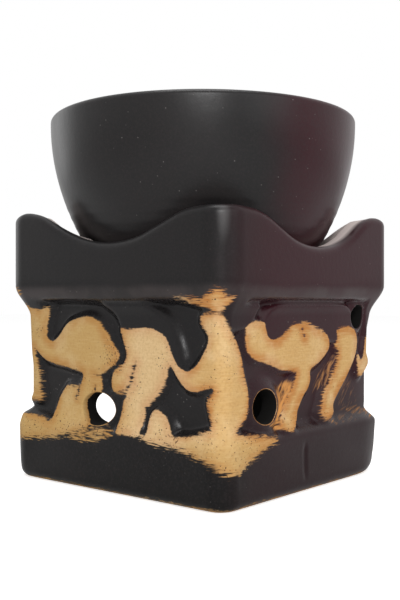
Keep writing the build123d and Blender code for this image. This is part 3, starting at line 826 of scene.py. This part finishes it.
# The black is darker towards the bottom: painted shade
neutral = blend_colour(step_up(axes[2], 0.012, 0.030), painted_shade_black, black_high)
colour = blend_colour(painted_warm_light, neutral, painted_warm_light_colour)
colour = blend_colour(step_up(clouds, 0.35, 0.7, 0, 0.2), colour, clouded)
colour = blend_colour(step_up(mottle, 0.42, 0.72, 0, 0.3), colour, mottled)
specks = put("TexVoronoi", {"Vector": places, "Scale": 760.0}).outputs
few = put("SeparateColor", {0: specks["Color"]}).outputs[0]
dots = times(step_up(specks["Distance"], 0.16, 0.04), step_up(few, 0.84, 1.0))
dots = times(dots, times(given["Dust"], step_up(axes[2], 0.012, 0.030, 0.35, 1.0)))
rough = minus(step_up(clouds, 0.3, 0.7, 0.31, 0.38), times(given["Gloss"], 0.12))
plug(result, {
    "Color": blend_colour(dots, colour, dust),
    "Roughness": plus(rough, times(dots, 0.3)),
    "Height": grain(places, 520, 3, 0.6),
})


def new_material(name):
    """A material with a Principled BSDF on its output."""
    material = bpy.data.materials.new(name)
    material.use_nodes = True
    return material, material.node_tree, material.node_tree.nodes["Principled BSDF"]


# The body's finish: slip, and clay where the scraped field, roughened by streaks that run level, is above
# nothing. The clay is orange where the scraping thins out and cream where it is deep, with dark pits.
burner_finish, tree, shader = new_material("scraped burner clay")


def field(name):
    """The value of one of the body's own fields."""
    return put("Attribute", attribute_name=name).outputs["Fac"]


places = own_places()
axes = put("SeparateXYZ", {0: places}).outputs
streaks = grain(stretched(places, 330, 330, 2900), 1.0, 2, 0.6)
long_streaks = grain(stretched(places, 120, 120, 1700), 1.0, 2, 0.6)
crumbs = grain(places, 1300, 2)
both = plus(times(streaks, 5.0), times(long_streaks, 3.0))
spread = times(minus(both, 4.0), field("ragged"))
fine = times(minus(crumbs, 0.5), 0.7)
bare = plus(plus(field("scraped"), spread), fine)
softness = plus(times(field("ragged"), 0.55), 0.14)
clay = step_up(reckon("DIVIDE", plus(bare, 0.05), softness), -0.9, 1.1)

# The clay's colour by how deep it is scraped, its edge against the slip, its scratches and its pale bloom
tone = grain(places, 95, 3)
deep = step_up(plus(bare, times(minus(tone, 0.5), 5.0)), 0.1, 3.2)
clay_colour = blend_colour(deep, (0.49, 0.205, 0.055), (0.60, 0.370, 0.145))
clay_colour = blend_colour(step_up(clay, 0.2, 0.95), (0.36, 0.125, 0.04), clay_colour)
scratches = grain(stretched(places, 170, 170, 2600), 1.0, 3, 0.65)
clay_colour = blend_colour(step_up(scratches, 0.45, 0.75, 0, 0.4), clay_colour, (0.76, 0.55, 0.28))
bloom = grain(places, 70, 4, 0.6)
clay_colour = blend_colour(step_up(bloom, 0.45, 0.7, 0, 0.55), clay_colour, (0.78, 0.58, 0.33))
# Darker and yellower on the first animal, which is painted shade, and darker and yellower towards the foot;
# palest on the second animal
clay_colour = blend_colour(step_up(axes[1], -0.010, 0.004, 0, 0.4), clay_colour, (0.40, 0.27, 0.09))
clay_colour = blend_colour(step_up(axes[2], 0.022, 0.013, 0, 0.5), clay_colour, (0.46, 0.29, 0.105))
from_second = reckon("ABSOLUTE", plus(axes[1], 0.017))
clay_colour = blend_colour(step_up(from_second, 0.016, 0.006, 0, 0.35), clay_colour, (0.84, 0.67, 0.42))
clay_colour = blend_colour(step_up(crumbs, 0.42, 0.7, 0, 0.28), clay_colour, (0.42, 0.22, 0.075))
# Pits, where a fine noise is above a bar that is lower in patches, on the first animal's rump and at the foot
bar = step_up(grain(places, 120, 2), 0.45, 0.65, 0.80, 0.665)
bar = reckon("MINIMUM", bar, step_up(distance_from(places, -0.042, -0.001, 0.039), 0.003, 0.010, 0.60, 0.78))
bar = reckon("MINIMUM", bar, step_up(axes[2], 0.018, 0.026, 0.657, 0.8))
pits = step_up(minus(grain(places, 1700, 1), bar), 0.0, 0.05)
clay_colour = blend_colour(pits, clay_colour, (0.10, 0.05, 0.025))

# The slip pools, and shines, in the slopes beside the raised shapes
sunk = field("sunk")
pooled = times(times(sunk, minus(1.0, sunk)), 4.0)
pooled = times(pooled, step_up(grain(places, 700, 2), 0.35, 0.6, 0.55, 1.25))
# The slip's painted plum tint of warm light begins a little nearer the left on the body
slip = put("Group", {"Dust": 0.6, "Gloss": pooled, "Painted warm light from": -0.003}, node_tree=slip_group).outputs
# The crown's lower edge is painted a little paler: a painted sheen along its rounding
from_edge = reckon("ABSOLUTE", minus(axes[2], 0.0568))
painted_edge_sheen = times(step_up(from_edge, 0.0030, 0.0004), step_up(tone, 0.35, 0.65, 0.3, 1))
slip_colour = blend_colour(times(painted_edge_sheen, 0.5), slip["Color"], (0.070, 0.056, 0.055))
# The top of the front corner is painted paler down its ridge: a painted highlight
painted_corner_highlight = step_up(distance_from(stretched(places, 1, 1, 0.25), -0.0427, -0.0427, 0.0195), 0.0030, 0.0002)
slip_colour = blend_colour(times(painted_corner_highlight, 0.7), slip_colour, (0.160, 0.155, 0.155))
# Inside, the slip is pale and thin on the crown, and dark in the firebox
lining = blend_colour(step_up(axes[2], 0.060, 0.070), (0.006, 0.0055, 0.005), (0.68, 0.59, 0.56))
slip_colour = blend_colour(field("inside"), slip_colour, lining)


def turned_strokes(turn, scale):
    """Brush strokes at turn degrees to the level across the front, about 1 / scale m long and 1 / 1500 m
    broad."""
    inputs = {0: places, "Rotation": (0, radians(turn), 0), "Scale": (1 / scale, 1 / scale, 1 / 1500)}
    return grain(put("Mapping", inputs, vector_type="TEXTURE").outputs[0], 1.0, 3, 0.6)


# Dry strokes: steep ones over the ground, and nearly level ones on the plinth
strokes = blend(step_up(axes[2], 0.020, 0.023), turned_strokes(-14, 110), turned_strokes(-50, 180))
rubbed = field("rubbed")
cover = plus(strokes, times(rubbed, 0.32))
cover = times(step_up(cover, 0.60, 0.86), reckon("POWER", rubbed, 0.6))
rub_colour = blend_colour(rubbed, (0.30, 0.16, 0.09), (0.62, 0.28, 0.08))
slip_colour = blend_colour(cover, slip_colour, rub_colour)

relief = minus(times(slip["Height"], 0.35), times(clay, 0.5))
relief = plus(relief, times(times(crumbs, clay), 0.5))
relief = minus(relief, times(times(pits, clay), 0.6))
roughness = blend(reckon("MAXIMUM", clay, cover), slip["Roughness"], 0.82)
plug(shader, {
    "Base Color": blend_colour(clay, slip_colour, clay_colour),
    "Roughness": blend(field("inside"), roughness, 0.85),
    "Specular IOR Level": 0.16,
    "Normal": bumped(relief, 0.55, 0.00022),
})

burner = make_piece("clay_burner", *body_mesh())
burner.data.materials.append(burner_finish)
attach(burner, "burner")
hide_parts("burner_body")


# Oil bowl: thrown in the same clay and dipped whole in the slip. It rests loose on the crown's four
# saddles, low arc on rounded edge, and has a small turned foot underneath.

bowl_columns = 240
lip_height, lip_round = 109.6, 1.6
# The low arc: its centre, as reach and height, its radius outside and inside, and the angle where it ends
low_centre = np.array([12.08, 88.4])
low_outside, low_inside = 30, 25
low_end = -28.7


def arc_points(middle, radius, start, end, count):
    """Points on a circle from one angle to another, in degrees, without the last."""
    angle = np.radians(np.linspace(start, end, count, endpoint=False))
    return middle + radius * np.stack([np.cos(angle), np.sin(angle)], 1)


def bend_points(start, crossing, end, count):
    """Points on a quadratic Bezier curve without the last: (1-s)^2, 2s(1-s) and s^2 times its points."""
    share = np.linspace(0, 1, count, endpoint=False)[:, None]
    start, crossing, end = (np.array(point, float) for point in (start, crossing, end))
    return (1 - share) ** 2 * start + 2 * share * (1 - share) * crossing + share**2 * end


def bowl_profile():
    """Reach and height from the foot's middle, up the outside, over the lip and down to the inside's
    middle."""
    foot = [(4, 58.05), (10, 58.05), (15.5, 58.0), (16.6, 57.75), (17.3, 57.66), (19.2, 57.66),
            (19.8, 57.9), (20.0, 58.5), (20.15, 59.2)]
    low_start = np.degrees(atan2(59.6 - low_centre[1], 20.8 - low_centre[0]))
    return np.vstack([
        foot,
        arc_points(low_centre, low_outside, low_start, low_end, 26),
        bend_points((38.395, 73.99), (48, 91.53), (47.95, lip_height), 44),
        arc_points((46.35, lip_height), lip_round, 0, 90, 10),
        arc_points((45.45, lip_height - 0.9), 2.5, 90, 180, 10),
        bend_points((42.95, lip_height - 0.9), (42.95, 92.8), (34.01, 76.39), 30),
        arc_points(low_centre, low_inside, low_end, -88, 20),
        [(12.08, 63.41), (6, 63.35)],
    ])


def lathe(profile, columns, wobble, middle=(0.0, 0.0)):
    """A closed turned solid: each profile point goes round the axis, and the two ends close on it. wobble
    gives, from the angle and the profile's place, what is added to reach and height."""
    angle = np.linspace(0, 2 * pi, columns, endpoint=False)
    more_reach, more_height = wobble(angle[None, :], profile[:, :1], profile[:, 1:])
    reach, height = profile[:, :1] + more_reach, profile[:, 1:] + more_height
    ring = np.stack([middle[0] + reach * np.cos(angle), middle[1] + reach * np.sin(angle), height], 2)
    ends = np.array([(*middle, height[0].mean()), (*middle, height[-1].mean())])
    _, quads, caps = grid_faces(len(profile), columns)
    return np.vstack([ring.reshape(-1, 3), ends]), quads.reshape(-1, 4), caps


def hand_thrown(angle, reach, height):
    """The bowl is never quite round: its wall goes in, and its lip dips, by up to about a tenth of a
    millimetre, and faint throwing rings run round the inside."""
    upper = ease(80, 111, height)
    inside = ease(62, 70, height) * (reach < 43.2) * ease(111, 104, height)
    more_reach = -0.06 * upper * (1 + np.sin(2 * angle + 0.6)) + 0.05 * inside * np.sin(height * 2.1 + angle)
    more_height = -0.05 * ease(100, 111, height) * (1 + np.sin(3 * angle + 1.9))
    return more_reach, more_height


bowl_finish, tree, shader = new_material("bowl slip")
# The slip's plum on the bowl's right side is a painted tint of warm light from that side
slip = put("Group", {"Dust": 0.55, "Painted warm light from": 0.012}, node_tree=slip_group).outputs
plug(shader, {
    "Base Color": slip["Color"], "Roughness": slip["Roughness"], "Specular IOR Level": 0.23,
    "Normal": bumped(slip["Height"], 0.3, 0.00012),
})

bowl = make_piece("clay_bowl", *lathe(bowl_profile(), bowl_columns, hand_thrown))
bowl.data.materials.append(bowl_finish)
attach(bowl, "bowl")
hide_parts("oil_bowl")


# Tealight cup: pressed from thin aluminium foil, with pleats down its wall where the foil is gathered, a
# rolled rim and a pressed ring in its floor. It stands a little towards the doorway.

tealight_middle = (0.0, 5.0)
pleats = 48
pleat_depth = 0.18


def pleated(angle, reach, height):
    """The wall goes in by up to a pleat's depth, as a cosine round it; the floor and the rim stay round."""
    on_wall = ease(17.5, 18.3, reach) * ease(6.6, 8.2, height) * ease(21.2, 19.8, height)
    return -pleat_depth / 2 * on_wall * (1 - np.cos(pleats * angle)), 0 * angle * reach


cup_profile = np.array([
    (4, 6.42), (8, 6.42), (8.6, 6.30), (9.6, 6.30), (10.2, 6.42), (13, 6.42), (16.2, 6.40), (17.2, 6.31),
    (18.1, 6.35), (18.6, 6.6), (18.85, 7.1), (18.92, 8), (18.94, 9.5), (18.95, 11.5), (18.96, 13.5),
    (18.97, 15.5), (18.98, 17.5), (18.99, 19.2), (19, 20.4), (19.05, 21.05), (19.2, 21.3), (19.42, 21.36),
    (19.5, 21.52), (19.46, 21.7), (19.25, 21.8), (19.0, 21.78), (18.82, 21.62), (18.76, 21.3), (18.76, 20.4),
    (18.76, 19.2), (18.75, 17.5), (18.74, 15.5), (18.73, 12), (18.72, 8), (18.5, 6.85), (18.0, 6.62),
    (13, 6.62), (6, 6.62),
])

foil_finish, tree, shader = new_material("pressed foil")
places = own_places()
drawn_lines = grain(stretched(places, 900, 900, 90), 1.0, 2)
smudge = grain(places, 140, 3)
plug(shader, {
    "Base Color": blend_colour(step_up(smudge, 0.4, 0.7), (0.83, 0.83, 0.85), (0.70, 0.70, 0.71)),
    "Roughness": step_up(smudge, 0.35, 0.7, 0.22, 0.38), "Metallic": 1.0,
    "Normal": bumped(drawn_lines, 0.4, 0.00005),
})

cup = make_piece("foil_cup", *lathe(cup_profile, pleats * 8, pleated, tealight_middle))
cup.data.materials.append(foil_finish)
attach(cup, "tealight")
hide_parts("tealight_cup")


# Candle wax: poured paraffin that fills the cup to 3.5 mm below its rim. It clings a little higher to the
# foil and to the wick, and has sunk a touch between them as it set.

wax_top = 18.25


def set_wax(angle, reach, height):
    """The top sinks by a few tenths between the wick and the rim, by a sine squared, clings at both by
    falling exponentials, and is faintly uneven."""
    top = (height > wax_top - 0.75) * 1.0
    sink = -0.3 * np.sin(pi * np.clip(reach / 18.5, 0, 1)) ** 2
    cling = 0.3 * np.exp(-((18.5 - reach) / 0.7)) + 0.45 * np.exp(-reach / 1.1)
    uneven = 0.05 * np.sin(3 * angle + reach * 0.5) * np.sin(reach * 0.35)
    return 0 * angle * reach, top * (sink + cling + uneven - 0.25)


wax_reach = [18.5, 18.3, 18.0, 17.6, 17.0, 16, 14.5, 13, 11, 9, 7, 5, 3.6, 2.6, 1.9, 1.4, 1.0, 0.75, 0.5]
wax_profile = np.vstack([
    [(6, 6.8), (12, 6.8), (17.8, 6.8), (18.3, 6.95), (18.5, 7.4), (18.5, 10), (18.5, 14), (18.5, 17.2)],
    np.c_[wax_reach, np.full(len(wax_reach), wax_top)],
])

wax_finish, tree, shader = new_material("paraffin wax")
places = own_places()
bloom = grain(places, 160, 3)
crystals = grain(places, 900, 2)
plug(shader, {
    "Base Color": blend_colour(step_up(bloom, 0.35, 0.7), (0.86, 0.84, 0.77), (0.76, 0.735, 0.66)),
    "Roughness": step_up(bloom, 0.3, 0.7, 0.34, 0.5), "Subsurface Weight": 0.35, "Subsurface Scale": 0.004,
    "Normal": bumped(crystals, 0.2, 0.0001),
})

wax = make_piece("poured_wax", *lathe(wax_profile, 160, set_wax, tealight_middle))
wax.data.materials.append(wax_finish)
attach(wax, "tealight")
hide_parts("candle_wax")


# Wick: a cord braided from cotton and stiffened with wax. It is crimped into the sustainer before the wax is
# poured round it, stands clear of the wax by a few millimetres and leans over at its tip.

wick_foot, wick_length = 7.2, 17.9
wick_lean = (0.25, 0.45)


def braided_cord(rows, columns):
    """A tube along a leaning line. Its reach is 0.56 mm and swells by 0.1 mm twice round. One pair of swells
    climbs one way and one the other, which crosses them like a braid, and a root closes the tip."""
    share = np.linspace(0, 1, rows)[:, None]
    angle = np.linspace(0, 2 * pi, columns, endpoint=False)[None, :]
    height = wick_foot + share * wick_length
    lean = ease(18, 26, height)
    climb = height * 2.4
    swell = np.maximum(np.sin(2 * angle + climb), np.sin(2 * angle - climb + 0.8))
    close = np.sqrt(np.clip((1 - share) / 0.02, 0, 1)) * 0.93 + 0.07
    reach = (0.56 + 0.1 * swell) * close
    x = tealight_middle[0] + wick_lean[0] * lean + reach * np.cos(angle)
    y = tealight_middle[1] + wick_lean[1] * lean + reach * np.sin(angle)
    points = np.stack([x, y, height + 0 * angle], 2).reshape(-1, 3)
    tip = (tealight_middle[0] + wick_lean[0], tealight_middle[1] + wick_lean[1], 25.12)
    _, quads, caps = grid_faces(rows, columns)
    return np.vstack([points, (*tealight_middle, wick_foot), tip]), quads.reshape(-1, 4), caps


wick_finish, tree, shader = new_material("waxed cotton")
fibres = grain(own_places(), 2600, 2)
plug(shader, {
    "Base Color": blend_colour(step_up(fibres, 0.35, 0.65), (0.72, 0.68, 0.58), (0.86, 0.83, 0.75)),
    "Roughness": step_up(fibres, 0.3, 0.7, 0.6, 0.85),
    "Normal": bumped(fibres, 0.5, 0.0001),
})

wick = make_piece("braided_wick", *braided_cord(150, 32))
wick.data.materials.append(wick_finish)
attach(wick, "tealight")
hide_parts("wick")


# Wick sustainer: a tinned steel disc with a crimped neck, at the bottom of the wax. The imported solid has
# its shape, so it only gets a metal finish.

tin_finish, tree, shader = new_material("tinned steel")
spangle = put("TexVoronoi", {"Vector": own_places(), "Scale": 900.0}).outputs["Distance"]
plug(shader, {
    "Base Color": blend_colour(step_up(spangle, 0.1, 0.7), (0.62, 0.62, 0.63), (0.50, 0.50, 0.50)),
    "Roughness": step_up(spangle, 0.1, 0.8, 0.25, 0.42), "Metallic": 1.0,
})
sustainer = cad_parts["wick_sustainer"]
sustainer.data.materials.clear()
sustainer.data.materials.append(tin_finish)


# Studio: a white table that runs out of sight, white all round, and soft lamps. The table and the
# background are white by their own colour, and the table keeps the burner's shadow.

table_reach = 3.0
table_corners = [(x * table_reach, y * table_reach, 0) for x, y in ((-1, -1), (1, -1), (1, 1), (-1, 1))]
table_mesh = bpy.data.meshes.new("table")
table_mesh.from_pydata(table_corners, [], [(0, 1, 2, 3)])
table = bpy.data.objects.new("table", table_mesh)
bpy.context.scene.collection.objects.link(table)
table_finish, tree, shader = new_material("white table")
path = put("LightPath").outputs
seen = reckon("MAXIMUM", path["Is Camera Ray"], times(path["Is Glossy Ray"], 0.15))
plug(shader, {
    "Base Color": (0.86, 0.86, 0.86, 1), "Roughness": 0.9, "Specular IOR Level": 0.0,
    "Emission Color": (1, 1, 1, 1), "Emission Strength": times(seen, 0.62),
})
table.data.materials.append(table_finish)

world = bpy.data.worlds.new("white studio")
bpy.context.scene.world = world
world.use_nodes = True
tree = world.node_tree
path = put("LightPath").outputs
seen = reckon("MAXIMUM", path["Is Camera Ray"], path["Is Glossy Ray"])
seen = reckon("MAXIMUM", seen, path["Is Transmission Ray"])
plug(tree.nodes["Background"], {"Color": (1, 1, 1, 1), "Strength": step_up(seen, 0, 1, 0.42, 1.0)})


def soft_lamp(name, place, target_height, size, power):
    """A square area lamp that faces a point on the burner's axis."""
    lamp = bpy.data.lights.new(name, "AREA")
    lamp.size = size
    lamp.energy = power
    holder = bpy.data.objects.new(name, lamp)
    away = (place[0], place[1], place[2] - target_height)
    holder.location = place
    holder.rotation_euler = (atan2(hypot(away[0], away[1]), away[2]), 0, atan2(away[0], -away[1]))
    bpy.context.scene.collection.objects.link(holder)


soft_lamp("key", (-0.470, -0.409, 0.35), 0.06, 0.13, 1.75)
soft_lamp("low", (-0.490, -0.465, 0.23), 0.06, 0.10, 0.25)
soft_lamp("fill", (-0.05, -0.92, 0.45), 0.05, 0.60, 1.6)
soft_lamp("edge", (-0.10, 0.85, 0.25), 0.08, 0.40, 0.5)
soft_lamp("top", (-0.05, 0.0, 1.0), 0.06, 0.50, 4.0)

# The camera is level, at half the height of burner and bowl, and looks at their axis past the front left
# corner
camera_data = bpy.data.cameras.new("camera")
camera_data.sensor_width = 36
camera_data.lens = 52.36
camera_data.shift_x = -0.0062
camera_data.shift_y = 0.0041
camera_data.clip_start = 0.01
camera = bpy.data.objects.new("camera", camera_data)
camera.location = (-0.2141, -0.1789, 0.05415)
camera.rotation_euler = (radians(90), 0, radians(-50.17))
bpy.context.scene.collection.objects.link(camera)
bpy.context.scene.camera = camera
bpy.context.scene.view_settings.view_transform = "Standard"
